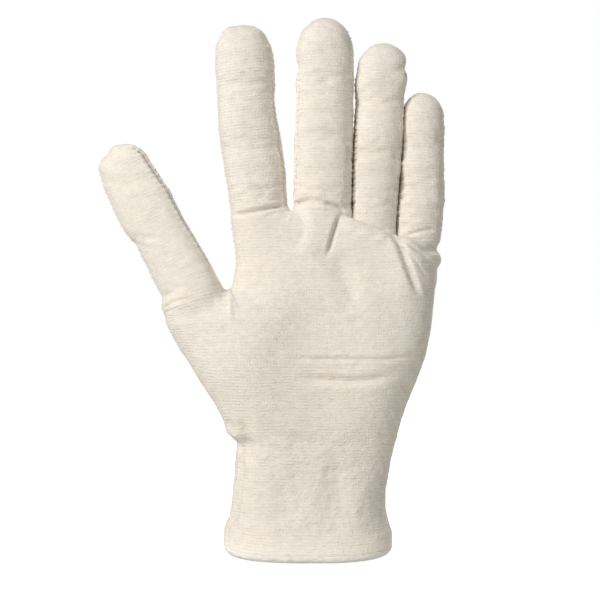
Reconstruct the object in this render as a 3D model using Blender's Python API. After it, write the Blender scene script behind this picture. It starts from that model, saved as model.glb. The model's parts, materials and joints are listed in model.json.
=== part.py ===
"""Cut and sewn knit glove for a left hand, open at the wrist.

The fabric is drawn as hollow walls one fabric thick.  The continuous cloth is
parted at the bending creases so that every finger section can turn.
+Z runs from the wrist opening to the fingertips, the palm looks along -Y and
the thumb is on the -X side.  All lengths below are in millimetres.
"""
import math

import bpy
import bmesh
from mathutils import Matrix, Vector

MM = 0.001
WALL = 1.0            # thickness of the knit cloth
GAP = 0.4             # clearance left between neighbouring pieces
SPLIT = 0.2           # half of the clearance between front and back cloth

HEM_HEIGHT = 8.2      # height of the turned band at the wrist
HEM_WALL = 1.7        # doubled cloth of the turned band
HEM_HALF_WIDTH = 33.6
HEM_HALF_DEPTH = 22.4
HEM_CENTRE_X = 0.0
HEM_ROUND = 0.5       # rounding of the band's edges
HEM_SIDES = 36

THREAD = 0.5          # square section of the hem thread
SEAM_WIDTH = 1.3      # side seam ridge, across the hand's edge
SEAM_DEPTH = 1.0      # side seam ridge, standing off the edge
SEAM_TOP = 58.0

PALM_COLUMNS = 14     # facets across the palm
FINGER_COLUMNS = 8    # facets across half a finger
DOME_STEPS = 4        # facets over a fingertip

KNUCKLE_TOP = 144.7   # height of the palm cloth under index and middle finger
SLOPE_START = 18.9    # the palm's top edge falls from here to the little finger
TOP_SLOPE = -0.34

THUMB_ANGLE = math.radians(27.0)
THUMB_BASE = Vector((-48.2, 0.0, 105.5))
THUMB_HALF_WIDTH = 15.0
THUMB_HALF_DEPTH = 13.0

# Hand outline, (height, left edge) up to the thumb and (height, right edge).
LEFT_EDGE = [(8.6, -33.4), (16.0, -32.0), (30.0, -31.1), (46.0, -30.4),
             (56.0, -35.0), (66.0, -40.5), (76.0, -47.2), (86.0, -54.0)]
RIGHT_EDGE = [(8.6, 33.2), (24.0, 31.8), (36.0, 32.8), (48.0, 36.4),
              (60.0, 39.6), (72.0, 44.6), (84.0, 48.9), (96.0, 51.4),
              (112.0, 53.4), (124.0, 53.8), (133.0, 55.2)]
# Half depth of the hand, (height, palm side, back side).
DEPTH = [(8.6, 21.6, 21.6), (40.0, 20.0, 19.5), (75.0, 17.5, 16.5),
         (110.0, 15.0, 14.0), (133.0, 12.0, 12.0), (145.0, 10.8, 10.8)]

# Each finger: sections (height, centre x, half width, half depth), the two
# upper creases, the tip and the sides that carry a fourchette strip.
FINGERS = {
    "index": {
        "sections": [(144.0, -20.1, 12.0, 10.4), (172.0, -24.4, 12.0, 10.0),
                     (197.0, -26.5, 11.9, 9.6), (211.0, -26.8, 11.6, 9.2)],
        "creases": (172.0, 197.0), "tip": 223.0, "strips": (1,)},
    "middle": {
        "sections": [(144.0, 5.9, 11.7, 10.4), (174.0, 6.4, 12.0, 10.0),
                     (199.0, 6.8, 12.0, 9.6), (214.0, 6.9, 11.8, 9.2)],
        "creases": (174.0, 199.0), "tip": 226.4, "strips": (-1, 1)},
    "ring": {
        "sections": [(138.0, 27.4, 8.4, 9.6), (168.0, 28.8, 9.3, 9.4),
                     (191.0, 29.9, 9.9, 9.0), (204.0, 30.6, 9.8, 8.7)],
        "creases": (168.0, 191.0), "tip": 215.5, "strips": (-1, 1)},
    "little": {
        "sections": [(132.0, 45.9, 9.5, 9.0), (155.0, 47.8, 9.1, 8.6),
                     (173.0, 49.0, 8.5, 8.2), (183.0, 49.6, 8.2, 7.9)],
        "creases": (155.0, 173.0), "tip": 193.6, "strips": (-1,)},
}
THUMB = {
    "sections": [(0.0, 0.0, THUMB_HALF_WIDTH, THUMB_HALF_DEPTH),
                 (31.4, 1.1, 12.4, 10.6), (45.0, 1.4, 12.2, 10.2),
                 (57.0, 2.4, 11.6, 9.6)],
    "crease": 31.4, "tip": 71.7}

STRIP_HALF = 3.0      # half width of a fourchette strip at the crotch
STRIP_TIP = 0.7       # half width where the strip runs out near the tip

KNIT = (0.80, 0.77, 0.70)
KNIT_SIDE = (0.74, 0.71, 0.64)
HEM = (0.84, 0.82, 0.76)
SEAM = (0.70, 0.67, 0.60)


def make_material(name, colour, roughness):
    """Plain cloth material."""
    material = bpy.data.materials.new(name)
    material.use_nodes = True
    shader = material.node_tree.nodes["Principled BSDF"]
    shader.inputs["Base Color"].default_value = (colour[0], colour[1], colour[2], 1.0)
    shader.inputs["Roughness"].default_value = roughness
    shader.inputs["Metallic"].default_value = 0.0
    return material


def lookup(table, height, column=1):
    """Straight line between the rows of a (height, value, ...) table."""
    if height <= table[0][0]:
        return table[0][column]
    for low, high in zip(table, table[1:]):
        if height <= high[0]:
            share = (height - low[0]) / (high[0] - low[0])
            return low[column] + (high[column] - low[column]) * share
    return table[-1][column]


def palm_top(x):
    """Height of the palm cloth's top edge at a position across the hand."""
    return KNUCKLE_TOP + TOP_SLOPE * max(0.0, x - SLOPE_START)


def make_object(name, faces, material, origin, parent=None, smooth=True):
    """One closed solid from faces given as tuples of points, origin in mm."""
    mesh = bpy.data.meshes.new(name)
    work = bmesh.new()
    known = {}
    for face in faces:
        corners = []
        for point in face:
            key = tuple(round(value, 4) for value in point)
            if key not in known:
                local = (Vector(point) - Vector(origin)) * MM
                known[key] = work.verts.new(local)
            if known[key] not in corners:
                corners.append(known[key])
        if len(corners) > 2:
            work.faces.new(corners)
    bmesh.ops.triangulate(work, faces=work.faces[:])
    bmesh.ops.recalc_face_normals(work, faces=work.faces[:])
    work.normal_update()
    if work.calc_volume(signed=True) < 0.0:
        bmesh.ops.reverse_faces(work, faces=work.faces[:])
    work.to_mesh(mesh)
    work.free()
    mesh.materials.append(material)
    if smooth:
        mesh.shade_smooth()
    thing = bpy.data.objects.new(name, mesh)
    bpy.context.scene.collection.objects.link(thing)
    thing.location = Vector(origin) * MM
    if parent is not None:
        attach(thing, parent, origin)
    return thing


def attach(thing, parent, origin):
    """Parent a piece without moving it."""
    thing.parent = parent
    thing.matrix_parent_inverse = Matrix.Identity(4)
    thing.location = Vector(origin) * MM - parent_world(parent)


def parent_world(thing):
    """World position of an unrotated object in a chain of parents."""
    place = Vector((0.0, 0.0, 0.0))
    while thing is not None:
        place += thing.location
        thing = thing.parent
    return place


def make_pivot(name, origin, parent):
    """Empty that marks a joint axis."""
    pivot = bpy.data.objects.new(name, None)
    pivot.empty_display_size = 0.005
    bpy.context.scene.collection.objects.link(pivot)
    attach(pivot, parent, origin)
    return pivot


def wall_faces(outer, inner):
    """Faces of a solid wall between two grids with the same rows and columns."""
    faces = []
    rows = len(outer)
    columns = len(outer[0])
    for row in range(rows - 1):
        for col in range(columns - 1):
            faces.append((outer[row][col], outer[row][col + 1],
                          outer[row + 1][col + 1], outer[row + 1][col]))
            faces.append((inner[row][col], inner[row + 1][col],
                          inner[row + 1][col + 1], inner[row][col + 1]))
    for row in range(rows - 1):
        for col in (0, columns - 1):
            faces.append((outer[row][col], outer[row + 1][col],
                          inner[row + 1][col], inner[row][col]))
    for row in (0, rows - 1):
        for col in range(columns - 1):
            faces.append((outer[row][col], outer[row][col + 1],
                          inner[row][col + 1], inner[row][col]))
    return faces


def finger_stations(sections, low, high, tip, base_slope, strip_end):
    """Sections of one finger piece as (centre, height, slope, outer, inner).

    outer and inner are (half width, half depth, height) of the two faces of
    the cloth.  Above the last section the finger is rounded over to its tip.
    """
    stations = []
    dome_start = sections[-1][0]
    closed = high is None
    top = dome_start if closed else high
    heights = [low]
    heights += [row[0] for row in sections if low + 4.0 < row[0] < top - 4.0]
    if closed and low + 2.0 < strip_end < top:
        heights += [strip_end, strip_end + 1.5]
    heights.append(top)
    for height in sorted(set(heights)):
        centre = lookup(sections, height, 1)
        wide = lookup(sections, height, 2)
        deep = lookup(sections, height, 3)
        slope = base_slope if height == low else 0.0
        stations.append((centre, slope, (wide, deep, height),
                         (wide - WALL, deep - WALL, height)))
    if closed:
        centre = sections[-1][1]
        wide = sections[-1][2]
        deep = sections[-1][3]
        rise = tip - dome_start
        for step in range(1, DOME_STEPS + 1):
            turn = 0.5 * math.pi * step / DOME_STEPS
            keep = math.cos(turn) ** 0.8 if step < DOME_STEPS else 0.0
            lift = math.sin(turn)
            stations.append((centre, 0.0,
                             (wide * keep, deep * keep, dome_start + rise * lift),
                             ((wide - WALL) * keep, (deep - WALL) * keep,
                              dome_start + (rise - WALL) * lift)))
    return stations


def panel_edge(height, has_strip, strip_end):
    """Distance of a panel's edge from the finger's mid plane."""
    if not has_strip or height > strip_end + 0.1:
        return SPLIT
    return strip_half(height, strip_end) + GAP


def strip_half(height, strip_end):
    """Half width of the fourchette strip, tapering toward the tip."""
    share = max(0.0, min(1.0, (strip_end - height) / 60.0))
    return STRIP_TIP + (STRIP_HALF - STRIP_TIP) * share


def section_point(centre, slope, size, turn, floor):
    """Point on a finger section; turn 0 is the +x side, pi the -x side."""
    wide, deep, height = size
    x = centre + wide * math.cos(turn)
    y = max(deep * math.sin(turn), floor)
    z = height + slope * (x - centre)
    return (x, y, z)


def panel_grids(stations, side, strips, strip_end, place):
    """Front (side -1) or back (side 1) cloth of one finger piece."""
    grids = []
    for layer in (2, 3):
        grid = []
        for station in stations:
            wide, deep, height = station[layer]
            reach = station[2][2]
            cut_right = panel_edge(reach, 1 in strips, strip_end)
            cut_left = panel_edge(reach, -1 in strips, strip_end)
            row = []
            if deep < 1e-6:
                start = 0.5 * math.pi
                end = 0.5 * math.pi
            else:
                start = math.asin(min(1.0, cut_right / deep))
                end = math.pi - math.asin(min(1.0, cut_left / deep))
            for col in range(FINGER_COLUMNS + 1):
                turn = start + (end - start) * col / FINGER_COLUMNS
                floor = cut_right + (cut_left - cut_right) * col / FINGER_COLUMNS
                size = (wide, deep, height)
                x, y, z = section_point(station[0], station[1], size, turn, floor)
                row.append(place(x, side * y, z))
            grid.append(row)
        grids.append(grid)
    return grids


def strip_grids(stations, side, strip_end, place):
    """Fourchette strip on the +x (1) or -x (-1) side of a finger piece."""
    grids = []
    for layer in (2, 3):
        grid = []
        for station in stations:
            if station[2][2] > strip_end + 0.1:
                continue
            wide, deep, height = station[layer]
            half = strip_half(station[2][2], strip_end)
            row = []
            for col in range(4):
                y = half * (2.0 * col / 3.0 - 1.0)
                x = station[0] + side * wide * math.sqrt(1.0 - (y / deep) ** 2)
                row.append(place(x, y, height + station[1] * (x - station[0])))
            grid.append(row)
        grids.append(grid)
    return grids


def upright(x, y, z):
    """Fingers are drawn directly in the hand's own axes."""
    return (x, y, z)


def along_thumb(x, y, z):
    """From the thumb's own axes to the hand's."""
    across = Vector((math.cos(THUMB_ANGLE), 0.0, math.sin(THUMB_ANGLE)))
    along = Vector((-math.sin(THUMB_ANGLE), 0.0, math.cos(THUMB_ANGLE)))
    point = THUMB_BASE + across * x + along * z
    return (point.x, point.y + y, point.z)


def make_finger_piece(name, spec, low, high, slope, origin, parent, place, cloth, edge):
    """Front and back cloth and the fourchette strips of one finger piece."""
    strip_end = spec["sections"][-1][0] - 1.6
    strips = spec.get("strips", ())
    stations = finger_stations(spec["sections"], low, high, spec["tip"], slope, strip_end)
    for side, label in ((-1, "front"), (1, "back")):
        outer, inner = panel_grids(stations, side, strips, strip_end, place)
        make_object(name + "_" + label, wall_faces(outer, inner), cloth, origin, parent)
    for side in strips:
        outer, inner = strip_grids(stations, side, strip_end, place)
        label = "ulnar" if side > 0 else "radial"
        make_object(name + "_fourchette_" + label, wall_faces(outer, inner), edge,
                    origin, parent)


def make_finger(finger, spec, hand, cloth, edge):
    """Three hinged pieces of one finger, turning about lines along x."""
    names = ("base", "mid", "tip")
    first = spec["sections"][0]
    floor = palm_top(first[1]) + GAP
    lows = (floor, spec["creases"][0] + 0.5 * GAP, spec["creases"][1] + 0.5 * GAP)
    highs = (spec["creases"][0] - 0.5 * GAP, spec["creases"][1] - 0.5 * GAP, None)
    slope = TOP_SLOPE if first[1] > SLOPE_START else 0.0
    parent = hand
    for index, part in enumerate(names):
        hinge = lows[index] - 0.5 * GAP
        centre = lookup(spec["sections"], hinge, 1)
        depth = lookup(spec["sections"], hinge, 3)
        origin = (centre, -depth - 0.3, hinge)
        pivot = make_pivot(finger + "_" + part + "_pivot", origin, parent)
        tilt = slope if index == 0 else 0.0
        make_finger_piece(finger + "_" + part, spec, lows[index], highs[index], tilt,
                          origin, pivot, upright, cloth, edge)
        parent = pivot


def make_thumb(hand, cloth, edge):
    """Two hinged pieces of the thumb, turning about lines across it."""
    crease = THUMB["crease"]
    lows = (0.0, crease + 0.5 * GAP)
    highs = (crease - 0.5 * GAP, None)
    parent = hand
    for index, part in enumerate(("base", "tip")):
        depth = lookup(THUMB["sections"], lows[index], 3)
        centre = lookup(THUMB["sections"], lows[index], 1)
        origin = along_thumb(centre, -depth - 0.3, lows[index] - 0.5 * GAP)
        pivot = make_pivot("thumb_" + part + "_pivot", origin, parent)
        make_finger_piece("thumb_" + part, THUMB, lows[index], highs[index], 0.0,
                          origin, pivot, along_thumb, cloth, edge)
        parent = pivot


def palm_rows():
    """Left end, right end and left depth share of every row of the palm grid."""
    rows = []
    rights = [8.6, 16.0, 28.0, 41.0, 49.0, 57.0, 65.0, 73.0]
    for (height, left), right_height in zip(LEFT_EDGE, rights):
        rows.append(((left, height), right_height, 0.0))
    shares = (-1.0, -0.8, -0.4, 0.0, 0.4, 0.8, 1.0)
    for index, share in enumerate(shares):
        point = along_thumb(THUMB_HALF_WIDTH * share, 0.0, -GAP)
        rise = math.sqrt(max(0.0, 1.0 - share * share))
        rows.append(((point[0], point[2]), 80.0 + 4.5 * index, rise))
    rows.append(((-33.0, 121.0), 114.0, 0.0))
    rows.append(((-31.4, 132.0), 122.0, 0.0))
    rows.append(((-32.0, KNUCKLE_TOP), None, 0.0))
    return rows


def edge_rise(share, reach):
    """Rounded rise of the cloth from an edge, 0 at the edge and 1 inside."""
    inside = 1.0 - min(1.0, max(0.0, share / reach))
    return (1.0 - inside ** 2.4) ** 0.45


def palm_grid(side):
    """Outer face of the palm (side -1) or the back (side 1) of the hand."""
    column = 1 if side < 0 else 2
    grid = []
    for (left, low), right_height, opening in palm_rows():
        last = right_height is None
        right_z = palm_top(55.4) if last else right_height
        right = lookup(RIGHT_EDGE, right_z)
        row = []
        for col in range(PALM_COLUMNS + 1):
            share = 0.5 - 0.5 * math.cos(math.pi * col / PALM_COLUMNS)
            x = left + (right - left) * share
            z = palm_top(x) if last else low + (right_z - low) * share
            full = lookup(DEPTH, z, column)
            start = THUMB_HALF_DEPTH * opening
            near = start + (full - start) * edge_rise(share, 0.45)
            depth = near * edge_rise(1.0 - share, 0.45)
            row.append(Vector((x, side * max(depth, SPLIT), z)))
        grid.append(row)
    return grid


def inner_grid(outer, side):
    """The cloth's inner face, one wall further in, ends kept on their planes."""
    rows = len(outer)
    columns = len(outer[0])
    thumb_along = Vector((-math.sin(THUMB_ANGLE), 0.0, math.cos(THUMB_ANGLE)))
    grid = []
    for row in range(rows):
        line = []
        for col in range(columns):
            left = outer[row][max(col - 1, 0)]
            right = outer[row][min(col + 1, columns - 1)]
            below = outer[max(row - 1, 0)][col]
            above = outer[min(row + 1, rows - 1)][col]
            normal = (right - left).cross(above - below).normalized()
            if normal.y * side < 0.0:
                normal = -normal
            point = outer[row][col]
            opening = palm_rows()[row][2]
            if col == 0 and opening == 0.0:
                normal = Vector((-1.0, 0.0, 0.0))
            if col == columns - 1:
                normal = Vector((1.0, 0.0, 0.0))
            if row in (0, rows - 1):
                normal.z = 0.0
                normal.normalize()
            if col == 0 and opening > 0.0:
                normal -= thumb_along * normal.dot(thumb_along)
                normal.normalize()
            moved = point - normal * WALL
            if side * moved.y < SPLIT:
                moved.y = side * SPLIT
            line.append(moved)
        grid.append(line)
    return grid


def make_palm(hand_parts, cloth):
    """Palm and back cloth of the hand, joined by the seams at both edges."""
    for side, name in ((-1, "palm_panel"), (1, "back_panel")):
        outer = palm_grid(side)
        inner = inner_grid(outer, side)
        faces = wall_faces([[tuple(p) for p in row] for row in outer],
                           [[tuple(p) for p in row] for row in inner])
        hand_parts.append(make_object(name, faces, cloth, (0.0, 0.0, 0.0)))


def ring_faces(rings):
    """Faces of a closed band whose section is the list of rings."""
    faces = []
    count = len(rings)
    sides = len(rings[0])
    for index in range(count):
        near = rings[index]
        far = rings[(index + 1) % count]
        for side in range(sides):
            after = (side + 1) % sides
            faces.append((near[side], near[after], far[after], far[side]))
    return faces


def oval(half_width, half_depth, height):
    """Points of an oval round the wrist."""
    points = []
    for side in range(HEM_SIDES):
        turn = 2.0 * math.pi * side / HEM_SIDES
        x = HEM_CENTRE_X + half_width * math.cos(turn)
        y = half_depth * math.sin(turn)
        points.append((x, y, height))
    return points


def make_hem(hand_parts, cloth, thread):
    """Turned band at the wrist and the thread that holds it."""
    wide = HEM_HALF_WIDTH
    deep = HEM_HALF_DEPTH
    inside = HEM_WALL
    profile = [(HEM_ROUND, 0.0), (0.0, 2.0 * HEM_ROUND),
               (0.0, HEM_HEIGHT - HEM_ROUND), (HEM_ROUND, HEM_HEIGHT),
               (inside, HEM_HEIGHT), (inside, 0.0)]
    rings = [oval(wide - inset, deep - inset, height) for inset, height in profile]
    hem = make_object("cuff_hem", ring_faces(rings), cloth, (0.0, 0.0, 0.0), smooth=False)
    hand_parts.append(hem)
    low = HEM_HEIGHT - HEM_ROUND - 1.2
    off = GAP
    profile = [(off, low), (off + THREAD, low),
               (off + THREAD, low + THREAD), (off, low + THREAD)]
    rings = [oval(wide + out, deep + out, height) for out, height in profile]
    line = make_object("hem_stitch_line", ring_faces(rings), thread, (0.0, 0.0, 0.0))
    hand_parts.append(line)


def make_side_seam(hand_parts, thread):
    """Overlocked ridge up the thumb side of the wrist."""
    heights = [9.5, 16.0, 30.0, 45.0, 50.0, SEAM_TOP]
    outer = []
    inner = []
    for height in heights:
        edge = lookup(LEFT_EDGE, height) - GAP
        half = 0.5 * SEAM_WIDTH
        outer.append([(edge - SEAM_DEPTH, -half, height), (edge - SEAM_DEPTH, half, height)])
        inner.append([(edge, -half, height), (edge, half, height)])
    seam = make_object("radial_side_seam", wall_faces(outer, inner), thread, (0.0, 0.0, 0.0))
    hand_parts.append(seam)


def make_crotch(name, x, width, hand_parts, cloth):
    """Saddle of a fourchette between two fingers, inside the palm's top edge."""
    half = 0.5 * width
    outer = []
    inner = []
    for share in (-1.0, -0.5, 0.0, 0.5, 1.0):
        across = x + half * share
        sink = GAP + 1.2 * share * share
        top = palm_top(x) - sink + 0.2
        reach = 8.6
        outer.append([(across, -reach, top), (across, 0.0, top - 0.8), (across, reach, top)])
        inner.append([(across, -reach, top - WALL), (across, 0.0, top - 0.8 - WALL),
                      (across, reach, top - WALL)])
    hand_parts.append(make_object(name, wall_faces(outer, inner), cloth, (0.0, 0.0, 0.0)))


def build():
    """Make the whole glove."""
    for thing in list(bpy.data.objects):
        bpy.data.objects.remove(thing, do_unlink=True)
    cloth = make_material("knit_cotton", KNIT, 0.92)
    edge = make_material("knit_fourchette", KNIT_SIDE, 0.92)
    hem_cloth = make_material("knit_hem", HEM, 0.88)
    thread = make_material("overlock_thread", SEAM, 0.8)
    hand = bpy.data.objects.new("hand", None)
    bpy.context.scene.collection.objects.link(hand)
    hand_parts = []
    make_palm(hand_parts, cloth)
    make_hem(hand_parts, hem_cloth, thread)
    make_side_seam(hand_parts, thread)
    make_crotch("fourchette_index_middle_crotch", -7.1, 4.0, hand_parts, edge)
    make_crotch("fourchette_middle_ring_crotch", 18.8, 4.0, hand_parts, edge)
    make_crotch("fourchette_ring_little_crotch", 36.2, 4.0, hand_parts, edge)
    for piece in hand_parts:
        piece.parent = hand
    for finger, spec in FINGERS.items():
        make_finger(finger, spec, hand, cloth, edge)
    make_thumb(hand, cloth, edge)


build()
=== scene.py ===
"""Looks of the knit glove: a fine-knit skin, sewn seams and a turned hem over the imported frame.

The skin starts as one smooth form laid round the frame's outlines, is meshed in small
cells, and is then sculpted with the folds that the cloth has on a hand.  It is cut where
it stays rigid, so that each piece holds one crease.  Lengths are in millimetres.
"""
import json
import math

import bpy
import numpy as np
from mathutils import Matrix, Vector
from mathutils.bvhtree import BVHTree


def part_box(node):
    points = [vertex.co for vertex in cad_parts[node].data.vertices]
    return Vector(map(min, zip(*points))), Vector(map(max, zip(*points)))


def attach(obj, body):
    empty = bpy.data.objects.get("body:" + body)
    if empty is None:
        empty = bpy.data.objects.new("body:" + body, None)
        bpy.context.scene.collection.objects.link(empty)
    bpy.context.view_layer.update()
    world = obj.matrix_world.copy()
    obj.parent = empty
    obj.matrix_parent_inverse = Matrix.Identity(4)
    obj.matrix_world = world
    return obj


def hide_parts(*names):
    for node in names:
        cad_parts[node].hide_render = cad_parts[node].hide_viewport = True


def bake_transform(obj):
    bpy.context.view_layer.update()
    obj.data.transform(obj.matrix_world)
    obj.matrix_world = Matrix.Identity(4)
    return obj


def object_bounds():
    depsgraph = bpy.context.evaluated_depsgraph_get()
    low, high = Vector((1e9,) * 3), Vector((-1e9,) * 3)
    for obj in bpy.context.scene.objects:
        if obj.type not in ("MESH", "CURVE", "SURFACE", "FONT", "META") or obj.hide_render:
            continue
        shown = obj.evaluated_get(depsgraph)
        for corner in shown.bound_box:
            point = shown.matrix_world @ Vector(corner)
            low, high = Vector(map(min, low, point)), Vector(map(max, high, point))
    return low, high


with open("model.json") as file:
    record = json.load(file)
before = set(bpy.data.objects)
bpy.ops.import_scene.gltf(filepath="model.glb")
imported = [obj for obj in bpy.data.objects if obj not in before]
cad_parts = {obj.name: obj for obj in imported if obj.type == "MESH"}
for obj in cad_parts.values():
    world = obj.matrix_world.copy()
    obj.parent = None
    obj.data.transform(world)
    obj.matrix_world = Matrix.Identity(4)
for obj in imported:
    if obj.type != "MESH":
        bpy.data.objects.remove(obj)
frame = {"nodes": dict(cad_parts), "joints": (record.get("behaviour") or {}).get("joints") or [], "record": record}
CAD_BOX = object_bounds()

MM = 0.001
VOXEL = 0.6       # cell size that the cloth is meshed in
CLOTH = 0.95                                 # thickness of the knit
PAD = 5.0                                    # empty border round the mesh grid
SKIN_FOOT = 1.8                              # height that the meshed skin starts at
TUBE_POWER = 2.25                            # how square a finger's section is; 2 is round
THUMB_POWER = 3.3                            # the same for the thumb's inner front edge
HAND_POWER = 3.0                             # the same for the hand, wrist and hem
PARTING = 0.15                               # half of the crack between two fingers
PRESS_ROUNDING = 1.6                         # how softly pressed finger sides round off
HEM_FLARE = 2.0                              # how far the cuff widens into the hem
HEM_FLARE_RUN = 13.0                         # and over what height
HEM_ROLL = 3.3                               # height of the roll that shows under the cuff
HEM_END_RISE = 1.9                           # how much higher the hem's two ends sit
HEM_RISE_HEIGHT = 24.0                       # where that rise has faded out
THUMB_START = 3.0                            # the thumb's own cloth begins here along it
THUMB_CUT = 19.7                             # and is cut into base and tip here
STRIP_HALF = 4.3                             # half width of a fourchette strip
STITCH_PITCH = 2.55
THUMB_SEAM_DEPTH = -8.8                      # inner thumb seam, towards the palm side
THUMB_OUTER_SEAM = 1.6                       # depth of the outer thumb seam
WRIST_SEAM_TOP = 52.0                        # the seam down the thumb side of the wrist
SEAM_PRESSED = 0.45                          # share of the seam relief between pressed fingers
BURIED, ROOT_DOME = 16.0, 10.0               # how a finger's form rounds off inside the hand
DEEPEST, PROUDEST = -2.6, 2.0                # limits of the cloth's relief
FINGERS = ("index", "middle", "ring", "little")
PAIRS = list(zip(FINGERS, FINGERS[1:]))
JOINT = {j["name"]: j for j in frame["joints"]}
BODY_NODES = frame["record"]["behaviour"]["bodies"]


# ------------------------------------------------------------------ small maths
def smooth_min(a, b, reach):
    """Polynomial smooth minimum."""
    share = np.clip(0.5 + 0.5 * (b - a) / reach, 0.0, 1.0)
    return b + (a - b) * share - reach * share * (1.0 - share)


def smooth_max(a, b, reach):
    """Polynomial smooth maximum."""
    return -smooth_min(-a, -b, reach)


def smooth_step(value):
    """0 to 1 with flat ends."""
    value = np.clip(value, 0.0, 1.0)
    return value * value * (3.0 - 2.0 * value)


def bell(offset, width):
    """1 at no offset, falling away over a width."""
    return np.exp(-(offset / width) ** 2)


def swell(x, z, x0, z0, rx, rz):
    """Soft round swelling."""
    return np.exp(-((x - x0) / rx) ** 2 - ((z - z0) / rz) ** 2)


def ripple(points, wavelength, seed, waves=18, stretch=(1.0, 1.0, 1.0)):
    """Smooth irregular field about -1 to 1 from a few plane waves."""
    source = np.random.RandomState(seed)
    total = np.zeros(len(points))
    scaled = points * np.array(stretch)
    for _ in range(waves):
        way = source.normal(size=3)
        way /= np.linalg.norm(way)
        pitch = wavelength * source.uniform(0.7, 1.5)
        total += np.sin(scaled @ way * (2.0 * math.pi / pitch) + source.uniform(0.0, 6.28))
    return total / math.sqrt(waves / 2.0) / 1.6


# ------------------------------------------------------- outlines of the frame
def joint_mm(name):
    """A joint's place in millimetres."""
    return np.array(JOINT[name]["pos_m"]) * 1000.0


def body_edges(nodes):
    """Edges of some CAD nodes as an array (edge, end, axis) in millimetres."""
    parts = []
    for name in nodes:
        mesh = frame["nodes"][name].data
        points = np.zeros(len(mesh.vertices) * 3)
        mesh.vertices.foreach_get("co", points)
        ends = np.zeros(len(mesh.edges) * 2, np.int64)
        mesh.edges.foreach_get("vertices", ends)
        parts.append(points.reshape(-1, 3)[ends.reshape(-1, 2)] * 1000.0)
    return np.concatenate(parts)


def extents(edges, levels):
    """Lowest and highest corner of each slice across the third axis."""
    low_end = edges[:, :, 2].min(1)
    high_end = edges[:, :, 2].max(1)
    out = []
    for level in levels:
        for nudge in (0.0, 0.6, -0.6):
            at = level + nudge
            hit = edges[(low_end <= at) & (high_end >= at) & (high_end > low_end + 1e-6)]
            if len(hit):
                break
        share = (at - hit[:, 0, 2]) / (hit[:, 1, 2] - hit[:, 0, 2])
        cut = hit[:, 0] + (hit[:, 1] - hit[:, 0]) * share[:, None]
        out.append(np.concatenate([cut.min(0)[:2], cut.max(0)[:2]]))
    return np.array(out)


HAND_TOP = joint_mm("index_knuckle_bend")[2]
PALM_LEVELS = np.arange(9.2, HAND_TOP - 1.0, 1.5)
PALM_CUT = extents(body_edges(["palm_panel", "back_panel"]), PALM_LEVELS)
THUMB_AXIS = np.array(JOINT["thumb_root_bend"]["axis"])
THUMB_ALONG = np.array([-THUMB_AXIS[2], 0.0, THUMB_AXIS[0]])
THUMB_ROOT = joint_mm("thumb_root_bend") * np.array([1.0, 0.0, 1.0])


def to_thumb(points):
    """Points in the thumb's own axes: across, depth, along."""
    shifted = points - THUMB_ROOT
    return np.stack([shifted @ THUMB_AXIS, shifted[..., 1], shifted @ THUMB_ALONG], -1)


def outline(edges, levels, tip):
    """Centre, half width and half depth by height of a round piece."""
    cut = extents(edges, levels)
    return {"z": levels, "x": (cut[:, 0] + cut[:, 2]) / 2.0,
            "a": (cut[:, 2] - cut[:, 0]) / 2.0, "b": (cut[:, 3] - cut[:, 1]) / 2.0,
            "tip": tip}


def finger_outline(name):
    """Outline of a finger with its crease heights."""
    nodes = []
    for part in ("base", "mid", "tip"):
        nodes += BODY_NODES[name + "_" + part]
    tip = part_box(name + "_tip_front")[1].z * 1000.0
    root = joint_mm(name + "_knuckle_bend")
    spec = outline(body_edges(nodes), np.linspace(root[2] + 4.5, tip - 14.0, 16), tip)
    spec["root"] = root
    spec["creases"] = [joint_mm(name + part)[2] for part in ("_middle_bend", "_tip_bend")]
    return spec


SPEC = {name: finger_outline(name) for name in FINGERS}
thumb_edges = to_thumb(body_edges(BODY_NODES["thumb_base"] + BODY_NODES["thumb_tip"]))
thumb_top = thumb_edges[:, :, 2].max()
THUMB_DEPTH = outline(thumb_edges, np.linspace(2.0, thumb_top - 15.0, 14), thumb_top)
THUMB_CREASE = to_thumb(joint_mm("thumb_tip_bend"))[2]

# How the cloth stands off the stiff CAD tubes: heights over the knuckle, and how far the
# left and right edges move to the right at each of them.
FINGER_LOOK = {
    "index": {"dome": 11.5, "rise": 0.0, "back": 0.0,
              "at": (-12, 0, 6, 11, 16, 21, 27, 32, 38, 46, 52, 58, 66, 74),
              "left": (0, 0, 0, 0, -0.2, 0, 0, -0.2, -0.1, 0, 0.2, 0, 0, 0.3),
              "right": (0.1, 0.1, 0.4, 1.0, 1.5, 1.5, 1.4, 1.3, 0.4, 0.5, 0.8, 0.5, 0, -0.3)},
    "middle": {"dome": 14.0, "rise": -0.6, "back": -0.6,
               "at": (-12, 0, 8, 16, 24, 32, 38, 50, 62, 80),
               "left": (-0.2, -0.2, -0.4, -0.5, -0.2, -0.1, 0.4, 0.5, 0.6, 0.6),
               "right": (1.3, 1.3, 1.3, 1.2, 1.2, 1.2, 0.6, 0.2, 0.3, 0.4)},
    "ring": {"dome": 12.0, "rise": -0.2, "back": 0.6,
             "at": (-12, 0, 8, 16, 24, 32, 40, 46, 52, 58, 62, 70),
             "left": (-2.2, -2.2, -2.1, -2.0, -2.0, -1.9, -0.5, 0.1, 0.0, -0.3, 0.2, 0.4),
             "right": (1.4, 1.4, 1.4, 1.4, 1.4, 1.4, 1.3, 1.4, 1.6, 2.2, 2.7, 2.7)},
    "little": {"dome": 10.5, "rise": 1.1, "back": 1.8,
               "at": (-12, 0, 10, 20, 30, 40, 48, 58),
               "left": (-0.9, -0.9, -0.9, -0.9, -1.1, -1.6, -2.0, -1.8),
               "right": (0.4, 0.3, 0.5, 0.2, -0.3, -0.5, -0.7, -0.7)},
}
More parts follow.
